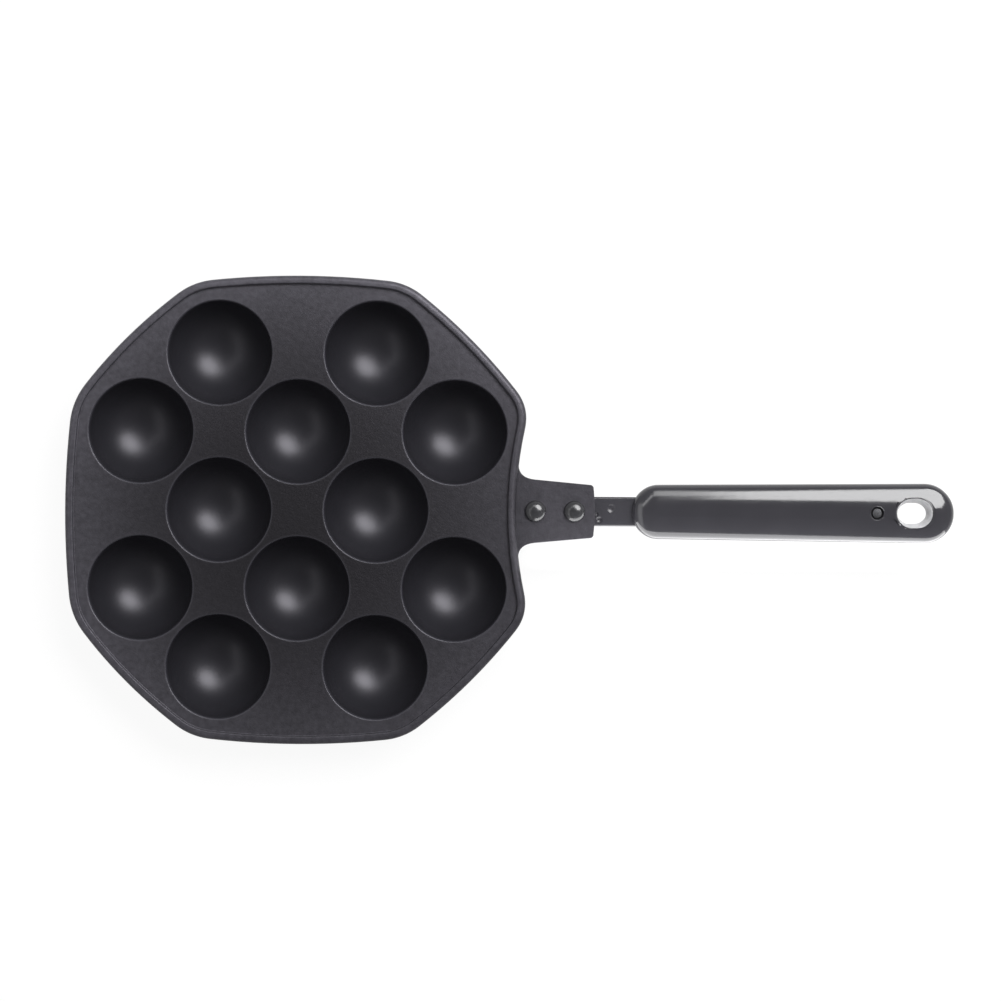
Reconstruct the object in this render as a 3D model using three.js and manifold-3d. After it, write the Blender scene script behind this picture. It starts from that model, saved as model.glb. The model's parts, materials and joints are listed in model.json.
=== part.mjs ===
// Takoyaki pan: a cast eight-sided plate with twelve round cups, a riveted neck strap and a moulded grip.
// Millimetres, +Z up, the grip towards +X. The pan rests at z = 0 on the flats under its cups.
import * as THREE from "three";
import { mergeVertices, toCreasedNormals } from "three/addons/utils/BufferGeometryUtils.js";
import Module from "manifold-3d";

const wasm = await Module();
wasm.setup();

// Plate outline, seen from above: flanks at +Y and -Y, the nose at -X and the heel towards the grip
const FLANK_Y = 97.3;
const FLANK_NOSE_X = 45;
const FLANK_HEEL_X = 46.2;
const NOSE_X = 96.6;
const NOSE_HALF = 46;
const HEEL_X = 99;
const HEEL_HALF = 44.2;
const FLANK_BOW = 2.4;
const NOSE_DIAGONAL_BOW = 2.4;
const HEEL_DIAGONAL_BOW = 2.2;
const NOSE_BOW = 2.3;
const HEEL_HOLLOW = 4.7;
const FLANK_CORNER = 8.4;
const END_CORNER = 9.2;

// Cups, on every second point of a square grid that reaches two steps out
const CUP_PITCH = 33.5;
const CUP_REACH = 2;
const CUP_MOUTH_RADIUS = 22.25;
const CUP_DEPTH = 20;
const CUP_WALL = 3;
const CUP_FLOOR = 2.4;
const CUP_LIP_ROUND = 0.8;
const CUP_ROOT_FILLET = 1.6;

// Plate, raised rim and skirt
const PLATE_THICKNESS = 3.2;
const RIM_RISE = 1.6;
const RIM_WIDTH = 3.6;
const RIM_OUTER_ROUND = 1;
const RIM_INNER_ROUND = 0.6;
const RIM_DRAFT = 0.3;
const SKIRT_HEIGHT = 9;
const SKIRT_WALL = 3;
const SKIRT_DRAFT = 0.6;
const SKIRT_EDGE_ROUND = 0.7;
const SKIRT_FILLET = 1.6;

// Tang, cast on the heel, with a channel under it for the strap
const TANG_LENGTH = 32.6;
const TANG_ROOT_HALF = 14.2;
const TANG_END_HALF = 11.2;
const TANG_ROOT_FLARE = 5.6;
const TANG_FILLET_RUN = 7;
const TANG_END_BOW = 0.5;
const TANG_END_CORNER = 1.6;
const TANG_DROP = 2.2;
const TANG_TOP_ROUND = 0.8;
const TANG_FOOT_ROUND = 0.6;

// Rivets
const RIVET_FIRST = 7.2;
const RIVET_SPACING = 16.7;
const RIVET_SHANK_RADIUS = 2;
const RIVET_HEAD_RADIUS = 4.6;
const RIVET_HEAD_RISE = 2.8;
const RIVET_TAIL_RADIUS = 3.5;
const RIVET_TAIL_DROP = 1.5;
const RIVET_TAIL_CHAMFER = 0.6;
const RIVET_CLEARANCE = 0.2;

// Neck strap
const STRAP_WIDTH = 12.6;
const STRAP_THICKNESS = 2.4;
const STRAP_EDGE = 0.4;
const STRAP_LEAD = 5.2;
const STRAP_NECK = 11.8;
const STRAP_BEND_RADIUS = 8;
const STRAP_TAIL = 7;
const STRAP_CLEARANCE = 0.3;

// Grip, in the frame of the strap's sloping part; its section is an oval, fuller for a higher power
const GRIP_SLOPE = THREE.MathUtils.degToRad(2.5);
const GRIP_SETBACK = 3.7;
const GRIP_LENGTH = 137.3;
const GRIP_FRONT_HALF = 11.7;
const GRIP_REAR_HALF = 12.7;
const GRIP_THICKNESS = 13.4;
const GRIP_SECTION_POWER = 2.7;
const GRIP_SECTION_REACH = THREE.MathUtils.degToRad(82);

// Hanging hole, waisted at mid height, with the waist set forward
const HOLE_FROM_REAR = 16.6;
const HOLE_LENGTH = 17.1;
const HOLE_WIDTH = 13.9;
const HOLE_WAIST = 2.45;
const HOLE_LEAN = 1.2;

// Grip pin, sunk at both ends
const PIN_FROM_FRONT = 104.2;
const PIN_SHANK_RADIUS = 1.8;
const PIN_HEAD_RADIUS = 2.1;
const PIN_HEAD_HEIGHT = 0.8;
const PIN_HEAD_EDGE = 0.25;
const PIN_RECESS = 2;
const PIN_RECESS_ROOM = 0.6;
const PIN_CLEARANCE = 0.3;

// How far a cutter runs past what it cuts
const OVERRUN = 5;

// Smoothness
const OUTLINE_STEPS = 4;
const CUP_SEGMENTS = 24;
const CUP_RINGS = 5;
const ROUND_STEPS = 2;
const TURNED_SEGMENTS = 20;
const END_STEPS = 8;
const SECTION_STEPS = 5;
const CREASE = THREE.MathUtils.degToRad(35);

const QUARTER = Math.PI / 2;

// Heights and places that follow
const faceZ = CUP_FLOOR + CUP_DEPTH;
const undersideZ = faceZ - PLATE_THICKNESS;
const rimZ = faceZ + RIM_RISE;
const skirtZ = rimZ - SKIRT_HEIGHT;
const tangTopZ = rimZ - TANG_DROP;
const strapTopZ = skirtZ + STRAP_THICKNESS;
const rootX = HEEL_X - HEEL_HOLLOW;
const tangEndX = rootX + TANG_LENGTH;
const rivetXs = [rootX + RIVET_FIRST, rootX + RIVET_FIRST + RIVET_SPACING];
const strapStartX = rivetXs[0] - STRAP_LEAD;
const bendX = tangEndX + STRAP_NECK;
const bendZ = strapTopZ + STRAP_BEND_RADIUS;
const pinX = GRIP_SETBACK + PIN_FROM_FRONT;
const strapEndX = pinX + STRAP_TAIL;
const holeX = GRIP_SETBACK + GRIP_LENGTH - HOLE_FROM_REAR;
const gripMiddleZ = -STRAP_BEND_RADIUS - STRAP_THICKNESS / 2;
const gripTopZ = gripMiddleZ + GRIP_THICKNESS / 2;
const gripFootZ = gripMiddleZ - GRIP_THICKNESS / 2;

// Solids and geometries

function solidOf(geometry) {
  const bare = geometry.clone();
  bare.deleteAttribute("normal");
  bare.deleteAttribute("uv");
  const merged = mergeVertices(bare);
  const vertProperties = new Float32Array(merged.attributes.position.array);
  const triVerts = new Uint32Array(merged.index.array);
  return new wasm.Manifold(new wasm.Mesh({ numProp: 3, vertProperties, triVerts }));
}

function geometryOf(solid) {
  const { vertProperties, triVerts } = solid.getMesh();
  const geometry = new THREE.BufferGeometry();
  geometry.setAttribute("position", new THREE.BufferAttribute(vertProperties, 3));
  geometry.setIndex(new THREE.BufferAttribute(triVerts, 1));
  return toCreasedNormals(geometry, CREASE);
}

// A stack of loops with equal numbers of points, joined into one skin and capped at both ends
function skinOf(loops) {
  const count = loops[0].length;
  const last = (loops.length - 1) * count;
  const index = [];
  for (let start = 0; start < last; start += count) {
    for (let i = 0; i < count; i++) {
      const here = start + i;
      const next = start + ((i + 1) % count);
      index.push(here, next, next + count, here, next + count, here + count);
    }
  }
  for (const [a, b, c] of THREE.ShapeUtils.triangulateShape(loops[0], [])) {
    index.push(c, b, a);
  }
  for (const [a, b, c] of THREE.ShapeUtils.triangulateShape(loops.at(-1), [])) {
    index.push(last + a, last + b, last + c);
  }
  const geometry = new THREE.BufferGeometry().setFromPoints(loops.flat());
  geometry.setIndex(index);
  return solidOf(geometry);
}

// A profile of radii and heights turned round the Z axis
function turned(profile, segments) {
  const points = profile.map(([radius, z]) => new THREE.Vector2(radius, z));
  const geometry = new THREE.LatheGeometry(points, segments);
  return geometry.rotateX(QUARTER);
}

// Points of an arc in a profile, from one angle to another, as pairs
function arcPairs(centre, radius, from, to, steps) {
  return Array.from({ length: steps + 1 }, (_, k) => {
    const angle = from + ((to - from) * k) / steps;
    return [centre[0] + radius * Math.cos(angle), centre[1] + radius * Math.sin(angle)];
  });
}

function closedPoints(shape, steps) {
  const points = shape.getPoints(steps);
  if (points[0].equals(points.at(-1))) {
    points.pop();
  }
  return points;
}

// A closed outline moved inwards by a distance, which may change from point to point
function insetLoop(outline, insetAt, heightAt) {
  return outline.map((point, i) => {
    const before = outline.at(i - 1);
    const after = outline[(i + 1) % outline.length];
    const incoming = point.clone().sub(before).normalize();
    const outgoing = after.clone().sub(point).normalize();
    const along = incoming.clone().add(outgoing).normalize();
    const inset = insetAt(point) / along.dot(outgoing);
    return new THREE.Vector3(point.x - along.y * inset, point.y + along.x * inset, heightAt(point));
  });
}

function moulded(outline, profile) {
  return skinOf(profile.map(([inset, z]) => insetLoop(outline, () => inset, () => z)));
}

// Plate

function plateOutline() {
  const corners = [
    [HEEL_X, HEEL_HALF, END_CORNER, HEEL_DIAGONAL_BOW],
    [FLANK_HEEL_X, FLANK_Y, FLANK_CORNER, FLANK_BOW],
    [-FLANK_NOSE_X, FLANK_Y, FLANK_CORNER, NOSE_DIAGONAL_BOW],
    [-NOSE_X, NOSE_HALF, END_CORNER, NOSE_BOW],
    [-NOSE_X, -NOSE_HALF, END_CORNER, NOSE_DIAGONAL_BOW],
    [-FLANK_NOSE_X, -FLANK_Y, FLANK_CORNER, FLANK_BOW],
    [FLANK_HEEL_X, -FLANK_Y, FLANK_CORNER, HEEL_DIAGONAL_BOW],
    [HEEL_X, -HEEL_HALF, END_CORNER, -HEEL_HOLLOW],
  ].map(([x, y, round, bow]) => ({ at: new THREE.Vector2(x, y), round, bow }));
  corners.forEach((corner, i) => {
    const next = corners[(i + 1) % corners.length].at;
    const side = next.clone().sub(corner.at).normalize();
    const outward = new THREE.Vector2(side.y, -side.x);
    corner.pull = corner.at.clone().add(next).divideScalar(2).addScaledVector(outward, 2 * corner.bow);
  });
  const shape = new THREE.Shape();
  corners.forEach((corner, i) => {
    const towards = (target) => target.clone().sub(corner.at).setLength(corner.round).add(corner.at);
    const start = towards(corners.at(i - 1).pull);
    const end = towards(corner.pull);
    if (i === 0) {
      shape.moveTo(start.x, start.y);
    } else {
      shape.quadraticCurveTo(corners[i - 1].pull.x, corners[i - 1].pull.y, start.x, start.y);
    }
    shape.quadraticCurveTo(corner.at.x, corner.at.y, end.x, end.y);
  });
  const lastPull = corners.at(-1).pull;
  const first = shape.curves[0].v0;
  shape.quadraticCurveTo(lastPull.x, lastPull.y, first.x, first.y);
  return closedPoints(shape, OUTLINE_STEPS);
}

// From the underside down the skirt, round its edge, up to the rim and down to the cooking face
function plateSolid() {
  const edgeZ = skirtZ + SKIRT_EDGE_ROUND;
  const fillet = [SKIRT_WALL + SKIRT_FILLET, undersideZ - SKIRT_FILLET];
  const edgeInside = [SKIRT_WALL - SKIRT_EDGE_ROUND, edgeZ];
  const edgeOutside = [SKIRT_DRAFT + SKIRT_EDGE_ROUND, edgeZ];
  const rimOutside = [RIM_OUTER_ROUND, rimZ - RIM_OUTER_ROUND];
  const rimInside = [RIM_WIDTH - RIM_INNER_ROUND, rimZ - RIM_INNER_ROUND];
  return moulded(plateOutline(), [
    ...arcPairs(fillet, SKIRT_FILLET, QUARTER, 2 * QUARTER, ROUND_STEPS),
    ...arcPairs(edgeInside, SKIRT_EDGE_ROUND, 0, -QUARTER, ROUND_STEPS),
    ...arcPairs(edgeOutside, SKIRT_EDGE_ROUND, -QUARTER, -2 * QUARTER, ROUND_STEPS),
    ...arcPairs(rimOutside, RIM_OUTER_ROUND, 2 * QUARTER, QUARTER, ROUND_STEPS),
    ...arcPairs(rimInside, RIM_INNER_ROUND, QUARTER, 0, ROUND_STEPS),
    [RIM_WIDTH + RIM_DRAFT, faceZ],
  ]);
}

// Cups

function cupPlaces() {
  const places = [];
  for (let column = -CUP_REACH; column <= CUP_REACH; column++) {
    for (let row = -CUP_REACH; row <= CUP_REACH; row++) {
      if ((column + row) % 2 !== 0) {
        places.push([column * CUP_PITCH, row * CUP_PITCH]);
      }
    }
  }
  return places;
}

const cupRadius = (CUP_MOUTH_RADIUS ** 2 + CUP_DEPTH ** 2) / (2 * CUP_DEPTH);
const cupCentre = [0, faceZ - CUP_DEPTH + cupRadius];

// The hollow of a cup, with the rounded lip that it leaves in the face
function cupHollow() {
  const wallEnd = Math.asin((faceZ - CUP_LIP_ROUND - cupCentre[1]) / cupRadius);
  const lip = [CUP_MOUTH_RADIUS + CUP_LIP_ROUND, faceZ - CUP_LIP_ROUND];
  return turned(
    [
      ...arcPairs(cupCentre, cupRadius, -QUARTER, wallEnd, CUP_RINGS),
      ...arcPairs(lip, CUP_LIP_ROUND, 2 * QUARTER, QUARTER, ROUND_STEPS).slice(1),
      [lip[0], faceZ + OVERRUN],
      [0, faceZ + OVERRUN],
    ],
    CUP_SEGMENTS
  );
}

// The outside of a cup, cut flat where the pan rests
function cupShell() {
  const shellRadius = cupRadius + CUP_WALL;
  const heightAngle = (z) => Math.asin((z - cupCentre[1]) / shellRadius);
  const rootZ = undersideZ - CUP_ROOT_FILLET;
  const wall = arcPairs(cupCentre, shellRadius, heightAngle(0), heightAngle(rootZ), CUP_RINGS - 1);
  const rootRadius = wall.at(-1)[0] + CUP_ROOT_FILLET;
  const topZ = undersideZ + PLATE_THICKNESS / 2;
  return turned([[0, 0], ...wall, [rootRadius, undersideZ], [rootRadius, topZ], [0, topZ]], CUP_SEGMENTS);
}

function atPlaces(geometry, places) {
  const copies = places.map(([x, y]) => solidOf(geometry.clone().translate(x, y, 0)));
  return wasm.Manifold.union(copies);
}

// Tang

function tangOutline() {
  const biteX = rootX - (SKIRT_WALL * 2) / 3;
  const filletX = rootX + TANG_FILLET_RUN;
  const taper = (TANG_ROOT_HALF - TANG_END_HALF) / TANG_LENGTH;
  const halfAt = (x) => TANG_ROOT_HALF - taper * (x - rootX);
  const flareY = TANG_ROOT_HALF + TANG_ROOT_FLARE;
  const cornerX = tangEndX - TANG_END_BOW;
  const endY = halfAt(cornerX);
  const sideX = cornerX - TANG_END_CORNER;
  const shape = new THREE.Shape();
  shape.moveTo(biteX, -flareY);
  shape.lineTo(rootX, -flareY);
  shape.quadraticCurveTo(rootX, -halfAt(rootX), filletX, -halfAt(filletX));
  shape.lineTo(sideX, -halfAt(sideX));
  shape.quadraticCurveTo(cornerX, -endY, cornerX, TANG_END_CORNER - endY);
  shape.quadraticCurveTo(cornerX + 2 * TANG_END_BOW, 0, cornerX, endY - TANG_END_CORNER);
  shape.quadraticCurveTo(cornerX, endY, sideX, halfAt(sideX));
  shape.lineTo(filletX, halfAt(filletX));
  shape.quadraticCurveTo(rootX, halfAt(rootX), rootX, flareY);
  shape.lineTo(biteX, flareY);
  return closedPoints(shape, OUTLINE_STEPS);
}

function tangSolid() {
  const topEdge = [TANG_TOP_ROUND, tangTopZ - TANG_TOP_ROUND];
  return moulded(tangOutline(), [
    [TANG_FOOT_ROUND, skirtZ],
    [0, skirtZ + TANG_FOOT_ROUND],
    ...arcPairs(topEdge, TANG_TOP_ROUND, 2 * QUARTER, QUARTER, ROUND_STEPS),
  ]);
}

// The strap seen from above, round at the end under the tang, with room all round it
function strapPlan(room, endX) {
  const half = STRAP_WIDTH / 2 + room;
  const centreX = strapStartX + STRAP_WIDTH / 2;
  const shape = new THREE.Shape();
  shape.moveTo(endX, -half);
  shape.lineTo(endX, half);
  shape.absarc(centreX, 0, half, QUARTER, 3 * QUARTER);
  return closedPoints(shape, END_STEPS);
}

function strapPrism(room, endX, footZ, topZ) {
  return moulded(strapPlan(room, endX), [[0, footZ], [0, topZ]]);
}

function holeCutter(radius, footZ, topZ) {
  return turned([[0, footZ], [radius, footZ], [radius, topZ], [0, topZ]], TURNED_SEGMENTS);
}

function rivetHoles() {
  const cutter = holeCutter(RIVET_SHANK_RADIUS + RIVET_CLEARANCE, skirtZ - OVERRUN, rimZ + OVERRUN);
  return atPlaces(cutter, rivetXs.map((x) => [x, 0]));
}

// One casting: plate, cups and tang
function panCasting() {
  const channel = strapPrism(STRAP_CLEARANCE, tangEndX + OVERRUN, skirtZ - OVERRUN, strapTopZ);
  return plateSolid()
    .add(atPlaces(cupShell(), cupPlaces()))
    .add(tangSolid().subtract(channel).subtract(rivetHoles()))
    .subtract(atPlaces(cupHollow(), cupPlaces()));
}

// Rivet: a head domed as half an ellipse on the tang, a shank, and a tail upset under the strap
function rivet() {
  const tailZ = skirtZ - RIVET_TAIL_DROP;
  const dome = arcPairs([0, 0], 1, 0, QUARTER, 2 * ROUND_STEPS).map(([across, up]) => [
    RIVET_HEAD_RADIUS * across,
    tangTopZ + RIVET_HEAD_RISE * up,
  ]);
  return turned(
    [
      [0, tailZ],
      [RIVET_TAIL_RADIUS - RIVET_TAIL_CHAMFER, tailZ],
      [RIVET_TAIL_RADIUS, tailZ + RIVET_TAIL_CHAMFER],
      [RIVET_TAIL_RADIUS, skirtZ],
      [RIVET_SHANK_RADIUS, skirtZ],
      [RIVET_SHANK_RADIUS, tangTopZ],
      ...dome,
    ],
    TURNED_SEGMENTS
  );
}

// Neck strap: flat under the tang, bent up, then straight through the grip

function strapSide() {
  const outerRadius = STRAP_BEND_RADIUS + STRAP_THICKNESS;
  const along = new THREE.Vector2(Math.cos(GRIP_SLOPE), Math.sin(GRIP_SLOPE)).multiplyScalar(strapEndX);
  const inward = new THREE.Vector2(-Math.sin(GRIP_SLOPE), Math.cos(GRIP_SLOPE));
  const pivot = new THREE.Vector2(bendX, bendZ);
  const endFoot = pivot.clone().add(along).addScaledVector(inward, -outerRadius);
  const endTop = pivot.clone().add(along).addScaledVector(inward, -STRAP_BEND_RADIUS);
  const shape = new THREE.Shape();
  shape.moveTo(strapStartX, strapTopZ);
  shape.lineTo(strapStartX, skirtZ);
  shape.absarc(bendX, bendZ, outerRadius, -QUARTER, GRIP_SLOPE - QUARTER);
  shape.lineTo(endFoot.x, endFoot.y);
  shape.lineTo(endTop.x, endTop.y);
  shape.absarc(bendX, bendZ, STRAP_BEND_RADIUS, GRIP_SLOPE - QUARTER, -QUARTER, true);
  return shape;
}

function neckStrap() {
  const bar = new THREE.ExtrudeGeometry(strapSide(), {
    depth: STRAP_WIDTH - 2 * STRAP_EDGE,
    curveSegments: ROUND_STEPS,
    bevelThickness: STRAP_EDGE,
    bevelSize: STRAP_EDGE,
    bevelOffset: -STRAP_EDGE,
    bevelSegments: 1,
  });
  bar.rotateX(QUARTER).translate(0, STRAP_WIDTH / 2 - STRAP_EDGE, 0);
  const farX = bendX + strapEndX + OVERRUN;
  const farZ = bendZ + strapEndX;
  const pinHole = holeCutter(PIN_SHANK_RADIUS + PIN_CLEARANCE, gripFootZ, gripTopZ);
  pinHole.translate(pinX, 0, 0).rotateY(-GRIP_SLOPE).translate(bendX, 0, bendZ);
  return solidOf(bar)
    .intersect(strapPrism(0, farX, skirtZ - OVERRUN, farZ))
    .subtract(rivetHoles())
    .subtract(solidOf(pinHole));
}

// Grip

function gripOutline() {
  const rearX = GRIP_SETBACK + GRIP_LENGTH - GRIP_REAR_HALF;
  const frontX = GRIP_SETBACK + GRIP_FRONT_HALF;
  const shape = new THREE.Shape();
  shape.absarc(rearX, 0, GRIP_REAR_HALF, -QUARTER, QUARTER);
  shape.absarc(frontX, 0, GRIP_FRONT_HALF, QUARTER, 3 * QUARTER);
  return closedPoints(shape, END_STEPS);
}

// Full and oval in section: each loop lies further in and further from the middle height
function gripBody() {
  const outline = gripOutline();
  const bulge = (share) => Math.sign(share) * Math.abs(share) ** (2 / GRIP_SECTION_POWER);
  const loopAt = (angle) => insetLoop(
    outline,
    () => GRIP_FRONT_HALF * (1 - bulge(Math.cos(angle))),
    () => gripMiddleZ + (GRIP_THICKNESS / 2) * bulge(Math.sin(angle))
  );
  const steps = Array.from({ length: 2 * SECTION_STEPS + 1 }, (_, k) => k / SECTION_STEPS - 1);
  return skinOf(steps.map((step) => loopAt(step * GRIP_SECTION_REACH)));
}

// A long round hole, widest at both faces and narrowest at the waist
function hangingHole() {
  const radius = HOLE_WIDTH / 2;
  const reach = (HOLE_LENGTH - HOLE_WIDTH) / 2;
  const shape = new THREE.Shape();
  shape.absarc(holeX + reach, 0, radius, -QUARTER, QUARTER);
  shape.absarc(holeX - reach, 0, radius, QUARTER, 3 * QUARTER);
  const outline = closedPoints(shape, END_STEPS);
  const loopAt = (inset, z) => insetLoop(outline, () => inset, () => z);
  const waist = loopAt(HOLE_WAIST, gripMiddleZ).map((point) => point.setX(point.x - HOLE_LEAN));
  return skinOf([loopAt(0, gripFootZ), waist, loopAt(0, gripTopZ)]);
}

function strapSocket() {
  const box = new THREE.BoxGeometry(
    strapEndX + STRAP_CLEARANCE + OVERRUN,
    STRAP_WIDTH + 2 * STRAP_CLEARANCE,
    STRAP_THICKNESS + 2 * STRAP_CLEARANCE
  );
  return solidOf(box.translate((strapEndX + STRAP_CLEARANCE - OVERRUN) / 2, 0, gripMiddleZ));
}

function pinBore() {
  const bore = holeCutter(PIN_SHANK_RADIUS + PIN_CLEARANCE, gripFootZ - OVERRUN, gripTopZ + OVERRUN);
  const recess = PIN_HEAD_RADIUS + PIN_RECESS_ROOM;
  const topRecess = holeCutter(recess, gripTopZ - PIN_RECESS, gripTopZ + OVERRUN);
  const footRecess = holeCutter(recess, gripFootZ - OVERRUN, gripFootZ + PIN_RECESS);
  const cutters = [bore, topRecess, footRecess].map((cutter) => solidOf(cutter.translate(pinX, 0, 0)));
  return wasm.Manifold.union(cutters);
}

function handleGrip() {
  return gripBody().subtract(hangingHole()).subtract(strapSocket()).subtract(pinBore());
}

// Grip pin: a shank through grip and strap, with a head in each recess
function handlePin() {
  const headBase = gripTopZ - PIN_RECESS + PIN_CLEARANCE;
  const tailBase = gripFootZ + PIN_RECESS - PIN_CLEARANCE;
  const headTop = headBase + PIN_HEAD_HEIGHT;
  const tailFoot = tailBase - PIN_HEAD_HEIGHT;
  const faceRadius = PIN_HEAD_RADIUS - PIN_HEAD_EDGE;
  const profile = [
    [0, tailFoot],
    [faceRadius, tailFoot],
    [PIN_HEAD_RADIUS, tailFoot + PIN_HEAD_EDGE],
    [PIN_HEAD_RADIUS, tailBase],
    [PIN_SHANK_RADIUS, tailBase],
    [PIN_SHANK_RADIUS, headBase],
    [PIN_HEAD_RADIUS, headBase],
    [PIN_HEAD_RADIUS, headTop - PIN_HEAD_EDGE],
    [faceRadius, headTop],
    [0, headTop],
  ];
  return turned(profile, TURNED_SEGMENTS).translate(pinX, 0, 0);
}

// Materials

function nonStickCoating() {
  return new THREE.MeshStandardMaterial({ color: 0x3a3a3e, roughness: 0.55, metalness: 0.3 });
}

function rivetBlack() {
  return new THREE.MeshStandardMaterial({ color: 0x2c2c30, roughness: 0.3, metalness: 0.3 });
}

function strapBlack() {
  return new THREE.MeshStandardMaterial({ color: 0x26262a, roughness: 0.25, metalness: 0.6 });
}

function gripPlastic() {
  return new THREE.MeshStandardMaterial({ color: 0x1c1c1f, roughness: 0.12, metalness: 0 });
}

function pinSteel() {
  return new THREE.MeshStandardMaterial({ color: 0x6f6f73, roughness: 0.35, metalness: 0.9 });
}

// Assembly

function piece(name, geometry, material) {
  const mesh = new THREE.Mesh(geometry, material);
  mesh.name = name;
  return mesh;
}

function gripAssembly() {
  const group = new THREE.Group();
  group.position.set(bendX, 0, bendZ);
  group.rotation.y = -GRIP_SLOPE;
  group.add(piece("handle_grip", geometryOf(handleGrip()), gripPlastic()));
  group.add(piece("handle_pin", handlePin(), pinSteel()));
  return group;
}

function takoyakiPan() {
  const pan = new THREE.Group();
  pan.add(piece("pan_casting", geometryOf(panCasting()), nonStickCoating()));
  ["front_rivet", "rear_rivet"].forEach((name, i) => {
    const mesh = piece(name, rivet(), rivetBlack());
    mesh.position.x = rivetXs[i];
    pan.add(mesh);
  });
  pan.add(piece("neck_strap", geometryOf(neckStrap()), strapBlack()));
  pan.add(gripAssembly());
  return pan;
}

// The origin is under the middle of the whole object's box
function centred(object) {
  const middle = new THREE.Box3().setFromObject(object, true).getCenter(new THREE.Vector3());
  object.position.x -= middle.x;
  object.updateMatrixWorld(true);
  return new THREE.Group().add(object);
}

export default centred(takoyakiPan());
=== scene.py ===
"""Models a cast takoyaki pan round its fixed frame: casting, rivets, neck strap, grip and pin."""

import json
import math

import bmesh
import bpy
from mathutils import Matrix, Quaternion, Vector


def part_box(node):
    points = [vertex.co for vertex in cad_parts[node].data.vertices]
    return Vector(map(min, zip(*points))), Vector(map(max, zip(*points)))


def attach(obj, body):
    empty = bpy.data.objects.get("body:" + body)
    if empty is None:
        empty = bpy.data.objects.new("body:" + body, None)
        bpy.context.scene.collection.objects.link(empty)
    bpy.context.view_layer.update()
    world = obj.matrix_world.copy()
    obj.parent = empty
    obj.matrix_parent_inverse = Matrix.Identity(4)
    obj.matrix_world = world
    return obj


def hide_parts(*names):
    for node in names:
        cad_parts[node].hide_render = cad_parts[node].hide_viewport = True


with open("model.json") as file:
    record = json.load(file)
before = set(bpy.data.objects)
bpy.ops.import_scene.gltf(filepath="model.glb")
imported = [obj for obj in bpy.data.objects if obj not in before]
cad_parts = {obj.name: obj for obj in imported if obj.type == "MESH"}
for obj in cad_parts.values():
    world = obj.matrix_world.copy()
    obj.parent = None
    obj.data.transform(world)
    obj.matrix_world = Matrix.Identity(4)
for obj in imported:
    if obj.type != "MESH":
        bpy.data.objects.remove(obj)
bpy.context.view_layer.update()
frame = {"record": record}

bl_info = {
    "name": "Takoyaki pan",
    "version": (1, 0, 0),
    "blender": (4, 5, 0),
    "location": "3D View > Sidebar > Pan",
    "description": "Models a cast takoyaki pan round its fixed frame",
    "category": "Add Mesh",
}

MM = 0.001
QUARTER = math.pi / 2
EIGHTH = math.pi / 4
NEAR = 0.02 * MM
WELD = NEAR / 10
SHARP = math.radians(30)

# Upright part of a direction: more than the first in a level face's normal or an upright edge,
# less than the second in a steep face's normal
UPRIGHT = 0.9
STEEP = 0.6

# How far a cubic curve's handle lies on the way to the point that pulls a quadratic one
PULL_SHARE = 2 / 3

# Share of half a width that a bevel takes to make a round end
ROUND_SHARE = 0.98

# Places read from the frame

openings = frame["record"]["physics"]["openings"]
cup_boxes = [hole["box_m"] for hole in openings if "cup" in hole["name"]]
cup_places = [((low[0] + high[0]) / 2, (low[1] + high[1]) / 2) for low, high in cup_boxes]
pan_x = sum(x for x, _ in cup_places) / len(cup_places)
casting_low, casting_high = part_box("pan_casting")
strap_low, strap_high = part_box("neck_strap")
rivet_boxes = [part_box(node) for node in ("front_rivet", "rear_rivet")]
rivet_places = [((low[0] + high[0]) / 2, 0) for low, high in rivet_boxes]
rim_z = casting_high[2]
strap_z = strap_low[2]

# Plate corners from the middle of the pan, in millimetres: place, rounding and the bow of the
# side after it
PLATE_CORNERS = (
    (99, 44.2, 9.2, 2.2),
    (46.2, 97.3, 8.4, 2.4),
    (-45, 97.3, 8.4, 2.4),
    (-96.6, 46, 9.2, 2.3),
    (-96.6, -46, 9.2, 2.4),
    (-45, -97.3, 8.4, 2.4),
    (46.2, -97.3, 8.4, 2.2),
    (99, -44.2, 9.2, -4.7),
)

# Pressed marks on the neck, in millimetres: place from the middle of the pan, and radius
PRESSED_MARKS = ((134.2, 1.3, 1.9), (129, -3.6, 1.4), (127.8, -1.2, 0.8))

# Counts of steps, segments and cuts
FILLET_STEPS = 5
PIN_SEGMENTS = 40
SECTION_STEPS = 8
BEND_CUTS = 3
MARK_SEGMENTS = 64

# The hanging hole: where its wall's curve starts, how far its rim and its wall reach, in hole
# lengths, and the wall up and down, in thicknesses, and how upright a wall face's normal may be
WALL_START = math.radians(30)
RIM_REACH_SHARE = 0.6
WALL_REACH_SHARE = 0.56
WALL_DEPTH_SHARE = 0.39
WALL_STEEP = 0.75


def length(name, description, millimetres):
    """A size that a user may change, given in millimetres and kept in metres."""
    return bpy.props.FloatProperty(
        name=name, description=description, default=millimetres * MM, unit="LENGTH"
    )


def colour(name, description, default):
    return bpy.props.FloatVectorProperty(
        name=name, description=description, default=default, size=3, min=0, subtype="COLOR"
    )


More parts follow.
